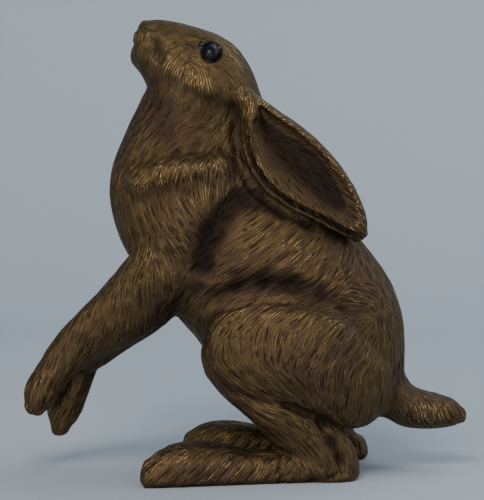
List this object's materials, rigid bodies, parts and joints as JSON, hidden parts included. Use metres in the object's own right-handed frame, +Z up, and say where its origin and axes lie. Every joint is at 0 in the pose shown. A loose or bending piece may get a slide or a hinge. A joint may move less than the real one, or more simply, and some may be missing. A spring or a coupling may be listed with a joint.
{
  "type": "hare sculpture",
  "caption": "Figurine of a hare sitting up on its hind legs with its head raised and its ears laid along its back.",
  "frame": {"origin": "on the ground under the middle of the figure's box", "axes": "+X from the nose towards the tail, +Y to the hare's right, +Z up"},
  "size_m": [0.1581, 0.0731, 0.1599],
  "materials": {
    "bronze": "dark brown bronzed resin, rubbed golden on the ridges of the fur, dark wax in the furrows"
  },
  "bodies": {
    "root": {"hare": "bronze"}
  },
  "joints": []
}
